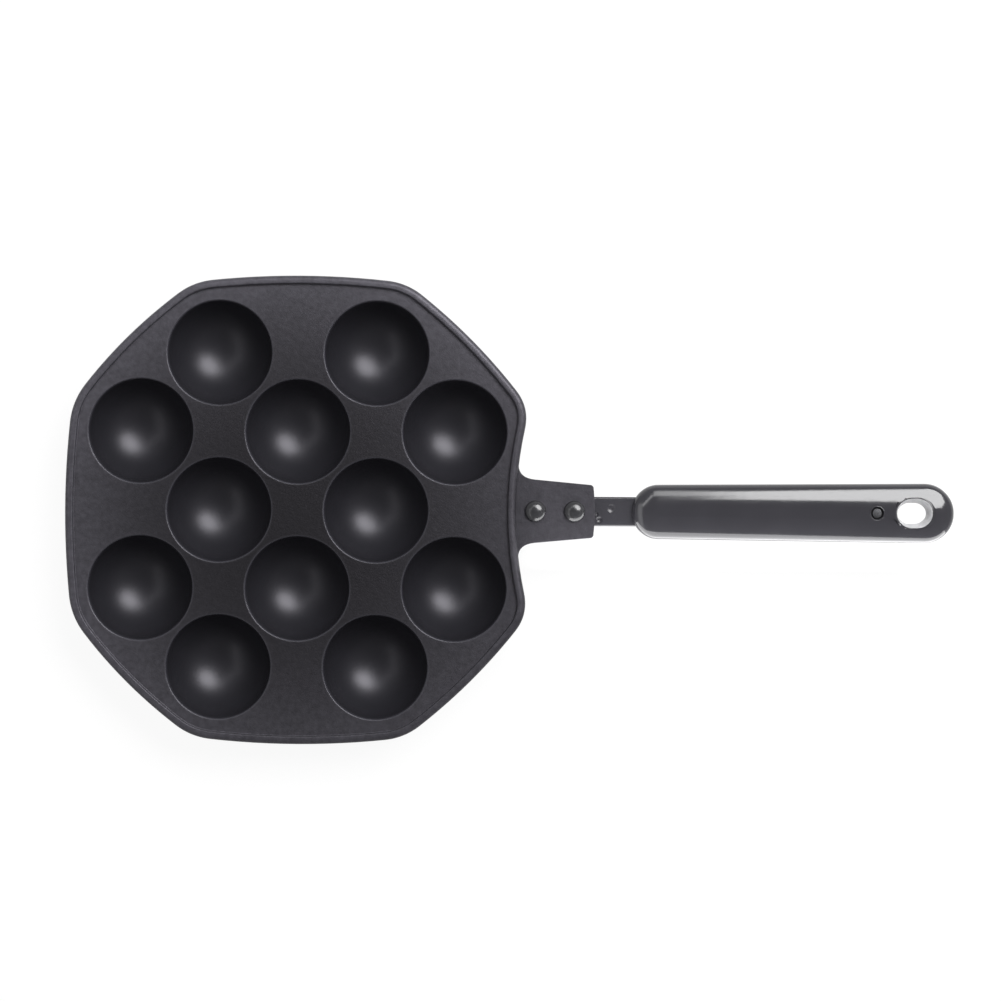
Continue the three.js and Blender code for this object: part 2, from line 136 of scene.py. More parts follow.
class CastingSizes(bpy.types.PropertyGroup):
    """Sizes of the cast plate, its cups and its tang."""

    plate_thickness: length("Plate thickness", "Wall of the plate between the cups", 3.2)
    rim_rise: length("Rim rise", "How far the rim stands above the cooking face", 1.6)
    rim_width: length("Rim width", "Width of the raised rim", 3.6)
    rim_round: length("Rim rounding", "Radius of the rim's outer edge", 2.2)
    rim_crease: length("Rim crease", "Radius inside the rim, at its top and its foot", 0.5)
    skirt_height: length("Skirt height", "From the rim's top to the skirt's edge", 9)
    skirt_wall: length("Skirt wall", "Thickness of the skirt", 3)
    skirt_draft: length("Skirt draft", "How far the skirt leans in at its edge", 0.6)
    cup_mouth: length("Cup mouth radius", "Radius of a cup at the cooking face", 22.25)
    cup_depth: length("Cup depth", "Depth of a cup below the cooking face", 20)
    cup_wall: length("Cup wall", "Thickness of a cup's wall", 3)
    cup_lip: length("Cup lip", "Radius of the lip between a cup and the face", 0.8)
    cup_fillet: length("Cup fillet", "Fillet where a cup meets the plate's underside", 2)
    heel: length("Heel", "From the middle of the pan to the hollow heel", 94.3)
    tang_length: length("Tang length", "From the heel's middle to the tang's end", 32.6)
    tang_root: length("Tang root", "Half of the tang's width at the heel", 14.2)
    tang_end: length("Tang end", "Half of the tang's width at its end", 11.2)
    tang_flare: length("Tang flare", "How far the root fillets spread along the heel", 5.6)
    tang_fillet: length("Tang fillet", "How far the root fillets run along the tang", 7)
    tang_bow: length("Tang bow", "How far the tang's end bulges", 0.5)
    tang_corner: length("Tang corner", "Rounding of the tang's end corners", 1.6)
    tang_drop: length("Tang drop", "How far the tang's top lies below the rim", 2.2)
    tang_top_round: length("Tang top rounding", "Radius along the tang's upper edge", 0.8)
    tang_foot_round: length("Tang foot rounding", "Radius along the tang's lower edge", 0.6)


class StrapSizes(bpy.types.PropertyGroup):
    """Sizes of the neck strap and the rivets through it."""

    thickness: length("Strap thickness", "Thickness of the flat bar", 2.4)
    edge: length("Strap edge", "Rounding of the bar's long edges", 0.9)
    bend_at: length("Bend place", "From the middle of the pan to the start of the bend", 138.7)
    bend_radius: length("Bend radius", "Radius on the upper side of the bend", 8)
    slope: bpy.props.FloatProperty(
        name="Slope",
        description="Rise of the strap and grip",
        default=math.radians(2.5),
        subtype="ANGLE",
    )
    mark_depth: length("Mark depth", "Depth of the pressed marks on the neck", 0.5)
    head_rise: length("Rivet head", "Height of a rivet's domed head", 2.8)
    head_radius: length("Rivet head radius", "Radius of a rivet's domed head", 4.6)
    shank: length("Rivet shank", "Radius of a rivet's shank", 2)
    tail_radius: length("Rivet tail radius", "Radius of the upset tail", 3.5)
    tail_drop: length("Rivet tail", "Height of the upset tail", 1.5)
    tail_edge: length("Rivet tail edge", "Rounding of the upset tail", 0.6)
    hole_room: length("Rivet hole room", "Room round a rivet's shank in the strap", 0.2)


class GripSizes(bpy.types.PropertyGroup):
    """Sizes of the grip and its pin, in the frame of the strap's slope."""

    setback: length("Setback", "From the bend to the grip's front end", 3.7)
    length: length("Length", "Length of the grip", 137.25)
    front_half: length("Front half width", "Half of the grip's width at its front", 11.7)
    rear_half: length("Rear half width", "Half of the grip's width at its rear", 12.7)
    thickness: length("Thickness", "Thickness of the grip in its middle", 13.4)
    belt: length("Belt", "Height of the upright belt round the grip's widest line", 0.6)
    crown: length("Crown", "Radius of the grip's crowned top across its width", 23)
    edge: length("Edge", "How far the rounded edge comes in before the crown", 2.2)
    hole_from_rear: length("Hole place", "From the rear end to the hanging hole's middle", 16.6)
    hole_length: length("Hole length", "Length of the hole at the grip's highest line", 17.1)
    hole_width: length("Hole width", "Width of the hole at the grip's highest line", 15.1)
    waist_length: length("Waist length", "Length of the hole at mid height", 12.2)
    waist_width: length("Waist width", "Width of the hole at mid height", 9)
    hole_lean: length("Hole lean", "How far the waist lies towards the front", 1.2)
    hole_round: length("Hole rounding", "Radius of the hole's edges", 0.6)
    pin_from_front: length("Pin place", "From the front end to the pin", 104.2)
    pin_shank: length("Pin shank", "Radius of the pin's shank", 1.8)
    pin_head: length("Pin head", "Radius of the pin's heads", 2.1)
    pin_height: length("Pin head height", "Height of the pin's heads", 0.8)
    pin_edge: length("Pin head edge", "Rounding of the pin's heads", 0.25)
    lip_rise: length("Lip rise", "Height of the lip round the pin's recess", 0.25)
    lip_width: length("Lip width", "Width of the lip round the pin's recess", 0.45)
    pin_recess: length("Pin recess", "Depth of the recess round each head", 2)
    pin_room: length("Pin recess room", "Room round each head in its recess", 0.6)
    tail: length("Strap tail", "How far the strap runs on past the pin", 7)
    clearance: length("Clearance", "Room round the strap and the pin", 0.3)


class FinishColours(bpy.types.PropertyGroup):
    """Colours of the finishes."""

    coating: colour("Coating", "Non-stick coating on the plate", (0.0222, 0.0214, 0.0251))
    cup: colour("Cup coating", "Non-stick coating in the cups", (0.0116, 0.0113, 0.0138))
    underside: colour("Underside", "Heat-proof paint under the plate", (0.035, 0.035, 0.037))
    bare: colour("Bare metal", "Ground aluminium of the flats", (0.62, 0.62, 0.63))
    rivet: colour("Rivet", "Black on the rivets", (0.02, 0.02, 0.022))
    strap: colour("Strap", "Enamel on the strap", (0.0228, 0.0222, 0.0262))
    # Painted reflection: the hole wall's pale grey stands in for the bright surroundings that the
    # wall reflects
    hole: colour("Hole wall", "Worn wall of the hanging hole", (0.36, 0.36, 0.37))
    grip: colour("Grip", "Moulding of the grip", (0.0216, 0.0211, 0.0247))
    pin: colour("Pin", "Steel of the pin", (0.08, 0.08, 0.085))
    floor: colour("Floor", "Floor under the pan", (0.85, 0.85, 0.85))


# Steps of modelling by hand


def only(piece):
    bpy.ops.object.select_all(action="DESELECT")
    piece.select_set(True)
    bpy.context.view_layer.objects.active = piece


def named(name):
    piece = bpy.context.object
    piece.name = piece.data.name = name
    return piece


def edit(piece):
    only(piece)
    bpy.ops.object.mode_set(mode="EDIT")


def rest():
    bpy.ops.object.mode_set(mode="OBJECT")


def select(kind, test):
    """Selects just the faces, edges or verts that pass the test, in the mesh being edited."""
    bpy.ops.mesh.select_mode(type={"faces": "FACE", "edges": "EDGE", "verts": "VERT"}[kind])
    bpy.ops.mesh.select_all(action="DESELECT")
    mesh = bmesh.from_edit_mesh(bpy.context.object.data)
    for part in getattr(mesh, kind):
        if test(part):
            part.select_set(True)
    mesh.select_flush_mode()
    bmesh.update_edit_mesh(bpy.context.object.data)


def at_height(part, z):
    return all(abs(vert.co.z - z) < NEAR for vert in part.verts)


def is_level(face):
    return abs(face.normal.z) > UPRIGHT


def upright_before(x):
    """Tests for upright edges that lie before a place along X."""

    def test(edge):
        run = (edge.verts[1].co - edge.verts[0].co).normalized()
        return abs(run.z) > UPRIGHT and all(vert.co.x < x for vert in edge.verts)

    return test


def face_at(z):
    return lambda face: at_height(face, z) and is_level(face)


def crease_at(z):
    """Tests for edges at a height between a level face and a steep one."""
    return lambda edge: (
        at_height(edge, z)
        and any(is_level(face) for face in edge.link_faces)
        and any(abs(face.normal.z) < STEEP for face in edge.link_faces)
    )


def extrude(x=0.0, y=0.0, z=0.0):
    bpy.ops.mesh.extrude_region_move(TRANSFORM_OT_translate={"value": (x, y, z)})


def move(x=0.0, y=0.0, z=0.0):
    bpy.ops.transform.translate(value=(x, y, z))


def soften(z, radius, segments=4):
    """Rounds the creases at a height."""
    select("edges", crease_at(z))
    bpy.ops.mesh.bevel(
        offset=radius, offset_type="OFFSET", segments=segments, profile=0.5, clamp_overlap=True
    )


def cut_at(x):
    """Cuts the mesh being edited across at a place along X."""
    bpy.ops.mesh.select_all(action="SELECT")
    bpy.ops.mesh.bisect(plane_co=(x, 0, 0), plane_no=(1, 0, 0))


def tidy_normals():
    bpy.ops.mesh.select_all(action="SELECT")
    bpy.ops.mesh.remove_doubles(threshold=WELD)
    bpy.ops.mesh.normals_make_consistent(inside=False)


def drawn(name, joints, z, steps):
    """A flat face whose outline runs through joints, each with the point that pulls its curve."""
    bpy.ops.curve.primitive_bezier_circle_add()
    curve = named(name)
    curve.data.resolution_u = steps
    curve.data.splines.clear()
    spline = curve.data.splines.new("BEZIER")
    spline.bezier_points.add(len(joints) - 1)
    spline.use_cyclic_u = True
    before = joints[-1][1]
    for point, (place, pull) in zip(spline.bezier_points, joints):
        point.handle_left_type = point.handle_right_type = "FREE"
        point.co = (*place, z)
        point.handle_left = (*place.lerp(before, PULL_SHARE), z)
        point.handle_right = (*place.lerp(pull, PULL_SHARE), z)
        before = pull
    only(curve)
    bpy.ops.object.convert(target="MESH")
    piece = named(name)
    edit(piece)
    bpy.ops.mesh.select_all(action="SELECT")
    bpy.ops.mesh.remove_doubles(threshold=NEAR)
    bpy.ops.mesh.edge_face_add()
    return piece


def block(name, low, high):
    """A box between two corners."""
    middle = [(start + end) / 2 for start, end in zip(low, high)]
    scale = [end - start for start, end in zip(low, high)]
    bpy.ops.mesh.primitive_cube_add(size=1, location=middle, scale=scale)
    return named(name)


def spun(name, profile, segments):
    """A profile of radii and heights turned round the Z axis."""
    bpy.ops.mesh.primitive_plane_add(size=MM)
    piece = named(name)
    edit(piece)
    bpy.ops.mesh.select_mode(type="VERT")
    bpy.ops.mesh.select_all(action="SELECT")
    bpy.ops.mesh.merge(type="CENTER")
    bpy.ops.mesh.select_all(action="SELECT")
    radius, z = profile[0]
    move(radius, 0, z)
    for next_radius, next_z in profile[1:]:
        extrude(next_radius - radius, 0, next_z - z)
        radius, z = next_radius, next_z
    bpy.ops.mesh.select_all(action="SELECT")
    bpy.ops.mesh.spin(steps=segments, angle=2 * math.pi, center=(0, 0, 0), axis=(0, 0, 1))
    tidy_normals()
    rest()
    return piece


def arc(centre, radius, start, end, steps):
    """Points of an arc in a profile, from one angle to another."""
    angles = [start + (end - start) * k / steps for k in range(steps + 1)]
    return [(centre[0] + radius * math.cos(a), centre[1] + radius * math.sin(a)) for a in angles]


def join_by(piece, tool, operation):
    """Adds a closed mesh to a piece, or cuts it out, and takes the tool away."""
    modifier = piece.modifiers.new(operation.lower(), "BOOLEAN")
    modifier.operation = operation
    modifier.solver = "MANIFOLD"
    modifier.object = tool
    only(piece)
    bpy.ops.object.modifier_apply(modifier=modifier.name)
    bpy.data.objects.remove(tool)


def copies(tool, places):
    """A copy of a tool at each place, with its own mesh, and the tool taken away."""
    for x, y in places:
        copy = tool.copy()
        copy.data = tool.data.copy()
        copy.location = (x, y, 0)
        bpy.context.collection.objects.link(copy)
        bpy.context.view_layer.update()
        yield copy
    bpy.data.objects.remove(tool)


def join_at(piece, tool, places, operation):
    """Adds a copy of a tool at each place to a piece, or cuts it out."""
    for copy in copies(tool, places):
        join_by(piece, copy, operation)


def settle(piece):
    """Brings a piece to the origin, unturned and unscaled, with its place in its mesh."""
    only(piece)
    bpy.ops.object.transform_apply(location=True, rotation=True, scale=True)


def smooth(piece):
    """Shades a piece smooth but for its sharp edges, with its large faces kept flat."""
    only(piece)
    bpy.ops.object.shade_smooth_by_angle(angle=SHARP)
    weigh = piece.modifiers.new("normals", "WEIGHTED_NORMAL")
    weigh.keep_sharp = True
    bpy.ops.object.modifier_apply(modifier=weigh.name)


def seat(piece, node, finishes):
    """Gives a finished piece its finishes and puts it in its node's stead."""
    piece.data.materials.clear()
    for finish in finishes:
        piece.data.materials.append(finish)
    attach(piece, "root")
    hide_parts(node)


def paint(piece, finish, test):
    """Gives the faces that pass the test another of the piece's finishes."""
    index = piece.data.materials.keys().index(finish)
    for face in piece.data.polygons:
        if test(face):
            face.material_index = index


# Casting


def plate_joints():
    """The plate's outline as joints and pull points: a rounded corner, then a bowed side."""
    corners = [
        (Vector((x * MM + pan_x, y * MM)), turn * MM, bow * MM) for x, y, turn, bow in PLATE_CORNERS
    ]
    pulls = []
    for (corner, _, bow), (after, _, _) in zip(corners, corners[1:] + corners[:1]):
        side = (after - corner).normalized()
        pulls.append((corner + after) / 2 + Vector((side.y, -side.x)) * 2 * bow)
    joints = []
    for (corner, turn, _), pull, pull_before in zip(corners, pulls, pulls[-1:] + pulls[:-1]):
        joints.append((corner + (pull_before - corner).normalized() * turn, corner))
        joints.append((corner + (pull - corner).normalized() * turn, pull))
    return joints


def cast_plate(sizes):
    """The plate with its rim and skirt, before the cups are cut."""
    face_z = rim_z - sizes.rim_rise
    under_z = face_z - sizes.plate_thickness
    plate = drawn("plate", plate_joints(), rim_z, steps=12)
    extrude(z=-sizes.skirt_height)
    half = (casting_high[1] - casting_low[1]) / 2
    shrink = 1 - sizes.skirt_draft / half
    bpy.ops.transform.resize(value=(shrink, shrink, 1), center_override=(pan_x, 0, 0))
    tidy_normals()
    foot_z = rim_z - sizes.skirt_height
    soften(rim_z, sizes.rim_round)
    select("faces", face_at(foot_z))
    bpy.ops.mesh.inset(thickness=sizes.skirt_wall - sizes.skirt_draft)
    extrude(z=under_z - foot_z)
    select("faces", face_at(rim_z))
    bpy.ops.mesh.inset(thickness=sizes.rim_width - sizes.rim_round)
    extrude(z=-sizes.rim_rise)
    tidy_normals()
    soften(rim_z, sizes.rim_crease)
    soften(face_z, sizes.rim_crease)
    soften(foot_z, sizes.skirt_draft)
    soften(under_z, sizes.cup_fillet)
    rest()
    return plate


def cup_shell(sizes, radius, centre_z):
    """The outside of a cup, from its ground flat to a flared root in the plate."""
    shell = radius + sizes.cup_wall
    under_z = rim_z - sizes.rim_rise - sizes.plate_thickness
    start = math.asin(-centre_z / shell)
    end = math.asin((under_z - sizes.cup_fillet - centre_z) / shell)
    wall = arc((0, centre_z), shell, start, end, steps=16)
    root = wall[-1][0] + sizes.cup_fillet
    centre = (root, under_z - sizes.cup_fillet)
    _, *flare = arc(centre, sizes.cup_fillet, 2 * QUARTER, QUARTER, FILLET_STEPS)
    top_z = under_z + sizes.plate_thickness / 2
    return spun("shell", [(0, 0), *wall, *flare, (root, top_z), (0, top_z)], segments=64)


def cup_hollow(sizes, radius, centre_z):
    """The inside of a cup, with the rounded lip that it leaves in the face."""
    face_z = rim_z - sizes.rim_rise
    end = math.asin((face_z - sizes.cup_lip - centre_z) / radius)
    wall = arc((0, centre_z), radius, -QUARTER, end, steps=22)
    edge = wall[-1][0] + sizes.cup_lip
    centre = (edge, face_z - sizes.cup_lip)
    _, *lip = arc(centre, sizes.cup_lip, 2 * QUARTER, QUARTER, FILLET_STEPS)
    top_z = rim_z + sizes.rim_rise
    return spun("hollow", [*wall, *lip, (edge, top_z), (0, top_z)], segments=80)


def tang_joints(sizes):
    """The tang's outline: root fillets, tapering sides and a bowed end."""
    root = sizes.heel + pan_x
    end = root + sizes.tang_length - sizes.tang_bow
    taper = (sizes.tang_root - sizes.tang_end) / sizes.tang_length

    def edge(x, side):
        return Vector((x, side * (sizes.tang_root - taper * (x - root))))

    def fillet(side):
        outside = Vector((root, side * (sizes.tang_root + sizes.tang_flare)))
        return outside, edge(root, side), edge(root + sizes.tang_fillet, side)

    inside = root - sizes.skirt_wall * 2 / 3
    low_start, low_pull, low_end = fillet(-1)
    high_start, high_pull, high_end = fillet(1)
    low_corner = edge(end, -1)
    high_corner = edge(end, 1)
    low_side = edge(end - sizes.tang_corner, -1)
    high_side = edge(end - sizes.tang_corner, 1)
    up = Vector((0, sizes.tang_corner))
    low_back = Vector((inside, low_start.y))
    high_back = Vector((inside, high_start.y))
    return [
        (low_back, (low_back + low_start) / 2),
        (low_start, low_pull),
        (low_end, (low_end + low_side) / 2),
        (low_side, low_corner),
        (low_corner + up, Vector((end + 2 * sizes.tang_bow, 0))),
        (high_corner - up, high_corner),
        (high_side, (high_side + high_end) / 2),
        (high_end, high_pull),
        (high_start, (high_start + high_back) / 2),
        (high_back, Vector((inside, 0))),
    ]


def cast_tang(sizes):
    """The tang, before its strap channel and rivet holes are cut."""
    foot_z = rim_z - sizes.skirt_height
    top_z = rim_z - sizes.tang_drop
    tang = drawn("tang", tang_joints(sizes), top_z, steps=8)
    extrude(z=foot_z - top_z)
    tidy_normals()
    soften(top_z, sizes.tang_top_round)
    soften(foot_z, sizes.tang_foot_round)
    rest()
    return tang


def strap_channel(sizes, strap, clearance):
    """The cutter for the channel under the tang, round at its closed end."""
    half = strap_high[1] + clearance
    low = (strap_low[0] - clearance, -half, rim_z - 2 * sizes.skirt_height)
    high = (pan_x + sizes.heel + 2 * sizes.tang_length, half, strap_z + strap.thickness)
    cutter = block("channel", low, high)
    edit(cutter)
    select("edges", upright_before(0))
    bpy.ops.mesh.bevel(offset=half * ROUND_SHARE, segments=10, profile=0.5)
    rest()
    return cutter


def rivet_hole(sizes, radius):
    """The cutter for a rivet's hole, from under the strap to above the tang."""
    top_z = rim_z + sizes.rim_rise
    foot_z = strap_z - sizes.rim_rise
    return spun("hole", [(0, foot_z), (radius, foot_z), (radius, top_z), (0, top_z)], segments=32)


class PAN_OT_casting(bpy.types.Operator):
    """Models the plate with its rim, cups and tang, cast in one"""

    bl_idname = "pan.casting"
    bl_label = "Casting"

    def execute(self, context):
        sizes = context.scene.pan_casting_sizes
        strap = context.scene.pan_strap_sizes
        clearance = context.scene.pan_grip_sizes.clearance
        radius = (sizes.cup_mouth**2 + sizes.cup_depth**2) / (2 * sizes.cup_depth)
        face_z = rim_z - sizes.rim_rise
        centre_z = face_z - sizes.cup_depth + radius
        casting = cast_plate(sizes)
        join_at(casting, cup_shell(sizes, radius, centre_z), cup_places, "UNION")
        tang = cast_tang(sizes)
        join_by(tang, strap_channel(sizes, strap, clearance), "DIFFERENCE")
        join_at(tang, rivet_hole(sizes, strap.shank + clearance), rivet_places, "DIFFERENCE")
        join_by(casting, tang, "UNION")
        join_at(casting, cup_hollow(sizes, radius, centre_z), cup_places, "DIFFERENCE")
        casting.name = casting.data.name = "cast_plate"
        smooth(casting)
        finishes = [plate_coating(), cup_coating(), underside_paint(), bare_flats()]
        seat(casting, "pan_casting", finishes)
        lip = sizes.cup_mouth + sizes.cup_lip
        least_rise, least_fall = 0.02, 0.3

        def in_cup(face):
            x, y, z = face.center
            near = min(math.hypot(x - cup_x, y - cup_y) for cup_x, cup_y in cup_places)
            return near < lip and face.normal.z > least_rise and z < face_z - NEAR

        def on_flat(face):
            return face.center.z < NEAR and face.normal.z < -UPRIGHT

        paint(casting, "underside_paint", lambda face: face.normal.z < -least_fall)
        paint(casting, "cup_coating", in_cup)
        paint(casting, "bare_flats", on_flat)
        return {"FINISHED"}


# Rivets and strap


class PAN_OT_rivets(bpy.types.Operator):
    """Models the two domed rivets"""

    bl_idname = "pan.rivets"
    bl_label = "Rivets"

    def execute(self, context):
        sizes = context.scene.pan_strap_sizes
        casting = context.scene.pan_casting_sizes
        seat_z = rim_z - casting.tang_drop
        tail_z = strap_z - sizes.tail_drop
        edge = sizes.tail_edge
        round_tail = arc((sizes.tail_radius - edge, tail_z + edge), edge, -QUARTER, 0, FILLET_STEPS)
        dome = [
            (sizes.head_radius * r, seat_z + sizes.head_rise * z)
            for r, z in arc((0, 0), 1, 0, QUARTER, steps=16)
        ]
        neck = [(sizes.tail_radius, strap_z), (sizes.shank, strap_z), (sizes.shank, seat_z)]
        tool = spun("rivet", [(0, tail_z), *round_tail, *neck, *dome], segments=48)
        finish = rivet_black()
        for rivet, name in zip(copies(tool, rivet_places), ("front_rivet", "rear_rivet")):
            settle(rivet)
            rivet.name = rivet.data.name = name.replace("_", "_domed_")
            smooth(rivet)
            seat(rivet, name, [finish])
        return {"FINISHED"}


def flat_bar(sizes):
    """The straight bar before it is bent, round at its front end and soft along its edges."""
    half = (strap_high[1] - strap_low[1]) / 2
    bend_x = pan_x + sizes.bend_at
    slant = sizes.thickness / 2 * math.tan(sizes.slope)
    end = bend_x + (strap_high[0] - bend_x) / math.cos(sizes.slope) - slant
    top_z = strap_z + sizes.thickness
    bar = block("bent_strap", (strap_low[0], -half, strap_z), (end, half, top_z))
    settle(bar)
    edit(bar)
    select("edges", upright_before(strap_low[0] + NEAR))
    bpy.ops.mesh.bevel(offset=half * ROUND_SHARE, segments=12, profile=0.5)
    soften(strap_z, sizes.edge, segments=3)
    soften(top_z, sizes.edge, segments=3)
    return bar


def bend_bar(sizes):
    """Bends the bar being edited up, a small turn at each of a few cuts."""
    middle_z = strap_z + sizes.thickness / 2
    start = pan_x + sizes.bend_at
    run = (sizes.bend_radius + sizes.thickness / 2) * sizes.slope
    cuts = [start + run * k / (BEND_CUTS - 1) for k in range(BEND_CUTS)]
    for x in cuts:
        cut_at(x)
    for x in reversed(cuts):
        select("verts", lambda vert: vert.co.x > x - NEAR)
        bpy.ops.transform.rotate(
            value=sizes.slope / BEND_CUTS,
            orient_axis="Y",
            orient_type="GLOBAL",
            center_override=(x, 0, middle_z),
        )
    rest()


class PAN_OT_strap(bpy.types.Operator):
    """Models the bent neck strap with its holes and pressed marks"""

    bl_idname = "pan.strap"
    bl_label = "Neck strap"

    def execute(self, context):
        sizes = context.scene.pan_strap_sizes
        bar = flat_bar(sizes)
        bend_bar(sizes)
        hole = rivet_hole(context.scene.pan_casting_sizes, sizes.shank + sizes.hole_room)
        join_at(bar, hole, rivet_places, "DIFFERENCE")
        top_z = strap_z + sizes.thickness
        for x, y, radius in PRESSED_MARKS:
            ball = ((radius * MM) ** 2 + sizes.mark_depth**2) / (2 * sizes.mark_depth)
            place = (pan_x + x * MM, y * MM, top_z + ball - sizes.mark_depth)
            bpy.ops.mesh.primitive_uv_sphere_add(
                segments=MARK_SEGMENTS, ring_count=MARK_SEGMENTS, radius=ball, location=place
            )
            join_by(bar, named("mark"), "DIFFERENCE")
        smooth(bar)
        seat(bar, "neck_strap", [strap_enamel()])
        return {"FINISHED"}


# Grip and pin


def hole_x(sizes):
    """Where the hanging hole's middle lies along the grip."""
    return sizes.setback + sizes.length - sizes.hole_from_rear


def pin_x(sizes):
    """Where the pin lies along the grip."""
    return sizes.setback + sizes.pin_from_front


def grip_joints(sizes):
    """The grip seen from above: a half circle at each end and straight tapering sides."""
    front = sizes.setback + sizes.front_half
    rear = sizes.setback + sizes.length - sizes.rear_half
    return ring_joints((front, sizes.front_half), (rear, sizes.rear_half))


def ring_joints(left, right):
    """An outline round two half circles, each a centre and a radius, in eighths of a turn."""
    joints = []
    for (centre, radius), first in ((right, -2), (left, 2)):
        last = first + 4
        reach = radius / math.cos(EIGHTH / 2)
        for k in range(first, last):
            turn = k * EIGHTH
            middle = turn + EIGHTH / 2
            place = Vector((centre + radius * math.cos(turn), radius * math.sin(turn)))
            pull = Vector((centre + reach * math.cos(middle), reach * math.sin(middle)))
            joints.append((place, pull))
        side = math.sin(last * EIGHTH)
        place = Vector((centre, radius * side))
        other, other_radius = left if first < 0 else right
        far = Vector((other, other_radius * side))
        joints.append((place, (place + far) / 2))
    return joints


def section_rings(sizes):
    """How far in and how high the rings of the grip's section lie: an oval edge, then a crown."""
    tilt = math.asin((sizes.front_half - sizes.edge) / sizes.crown)
    sag = sizes.crown * (1 - math.cos(tilt))
    rise = (sizes.thickness - sizes.belt) / 2 - sag
    lean = math.tan(tilt) * sizes.edge / rise
    end = math.acos(lean / (1 - lean))
    rings = []
    for k in range(SECTION_STEPS + 1):
        turn = end * k / SECTION_STEPS
        inset = sizes.edge * (1 - math.cos(turn)) / (1 - math.cos(end))
        rings.append((inset, rise * math.sin(turn) / math.sin(end)))
    for k in range(1, SECTION_STEPS):
        turn = tilt * (1 - k / SECTION_STEPS)
        inset = sizes.front_half - sizes.crown * math.sin(turn)
        rings.append((inset, rise + sag - sizes.crown * (1 - math.cos(turn))))
    return rings


def moulded_grip(sizes):
    """The grip's body, lying along X: its faces drawn in and lifted ring by ring."""
    belt = sizes.belt / 2
    grip = drawn("moulded_grip", grip_joints(sizes), belt, steps=10)
    extrude(z=-sizes.belt)
    tidy_normals()
    rings = section_rings(sizes)
    for z in (belt, -belt):
        select("faces", face_at(z))
        for (inset, height), (next_inset, next_height) in zip(rings, rings[1:]):
            bpy.ops.mesh.inset(thickness=next_inset - inset, depth=next_height - height)
    cut_across(sizes)
    rest()
    return grip


def cut_across(sizes):
    """Cuts the grip's long faces across near the pin and the hole, so that they stay smooth."""
    step = sizes.pin_head
    x = pin_x(sizes) - 3 * step
    while x < sizes.setback + sizes.length - sizes.rear_half:
        cut_at(x)
        x += step


def hole_cutter(sizes):
    """The cutter for the hanging hole: long and round, narrowest at mid height."""
    reach = (sizes.hole_length - sizes.hole_width) / 2
    centre = hole_x(sizes)
    radius = sizes.hole_width / 2
    top_z = sizes.thickness / 2
    outline = ring_joints((centre - reach, radius), (centre + reach, radius))
    cutter = drawn("hole", outline, top_z, steps=8)
    curve = arc((0, 0), 1, WALL_START, QUARTER, steps=8)
    start_x, start_y = curve[0]
    fall = [((y - start_y) / (1 - start_y), 1 - x / start_x) for x, y in curve]
    down = [(inward, top_z * (1 - drop)) for inward, drop in fall]
    levels = down + [(inward, -z) for inward, z in reversed(down[:-1])]
    spans = ((sizes.hole_length, sizes.waist_length), (sizes.hole_width, sizes.waist_width))
    for (before, before_z), (inward, z) in zip(levels, levels[1:]):
        extrude(z=z - before_z)
        narrow = [
            (full + (waist - full) * inward) / (full + (waist - full) * before)
            for full, waist in spans
        ]
        middle = (centre - sizes.hole_lean * before, 0, 0)
        bpy.ops.transform.resize(value=(*narrow, 1), center_override=middle)
        move(-sizes.hole_lean * (inward - before))
    for z in (top_z, -top_z):
        select("faces", face_at(z))
        extrude(z=z)
    tidy_normals()
    rest()
    return cutter


def round_hole(grip, sizes):
    """Rounds the hole's edges in the crowned faces."""
    centre = Vector((hole_x(sizes), 0))
    reach = sizes.hole_length * RIM_REACH_SHARE

    def on_rim(edge):
        middle = (edge.verts[0].co + edge.verts[1].co) / 2
        tilts = sorted(abs(face.normal.z) for face in edge.link_faces)
        return (middle.xy - centre).length < reach and tilts[0] < STEEP < UPRIGHT < tilts[-1]

    edit(grip)
    select("edges", on_rim)
    bpy.ops.mesh.bevel(offset=sizes.hole_round, segments=3, profile=0.5)
    rest()


def hole_wall(grip, sizes):
    """The numbers of the faces in the hanging hole's wall."""
    centre = Vector((hole_x(sizes), 0))
    reach = sizes.hole_length * WALL_REACH_SHARE
    depth = sizes.thickness * WALL_DEPTH_SHARE
    return {
        face.index
        for face in grip.data.polygons
        if (face.center.xy - centre).length < reach
        and abs(face.center.z) < depth
        and abs(face.normal.z) < WALL_STEEP
    }


def both_ends(half):
    """A whole profile from its upper half."""
    return [(r, -z) for r, z in reversed(half)] + half


def pin_profile(sizes):
    """The pin's shank with a rounded head at each end."""
    seat_z = sizes.thickness / 2 - sizes.pin_recess + sizes.clearance
    top_z = seat_z + sizes.pin_height
    edge = sizes.pin_edge
    round_edge = arc((sizes.pin_head - edge, top_z - edge), edge, 0, QUARTER, FILLET_STEPS)
    return both_ends([(sizes.pin_shank, seat_z), (sizes.pin_head, seat_z), *round_edge, (0, top_z)])


def bore_profile(sizes):
    """The bore for the pin's shank, with a recess for the head at each end."""
    bore = sizes.pin_shank + sizes.clearance
    recess = sizes.pin_head + sizes.pin_room
    seat_z = sizes.thickness / 2 - sizes.pin_recess
    top_z = sizes.thickness
    return both_ends([(bore, seat_z), (recess, seat_z), (recess, top_z), (0, top_z)])


def lip_profile(sizes):
    """A low round lip on the grip's top, cut open by the pin's recess."""
    edge = sizes.lip_rise
    radius = sizes.pin_head + sizes.pin_room + sizes.lip_width
    top_z = sizes.thickness / 2 + sizes.lip_rise
    crest = arc((radius - edge, top_z - edge), edge, 0, QUARTER, FILLET_STEPS)
    return [(0, 0), (radius, 0), *crest, (0, top_z)]


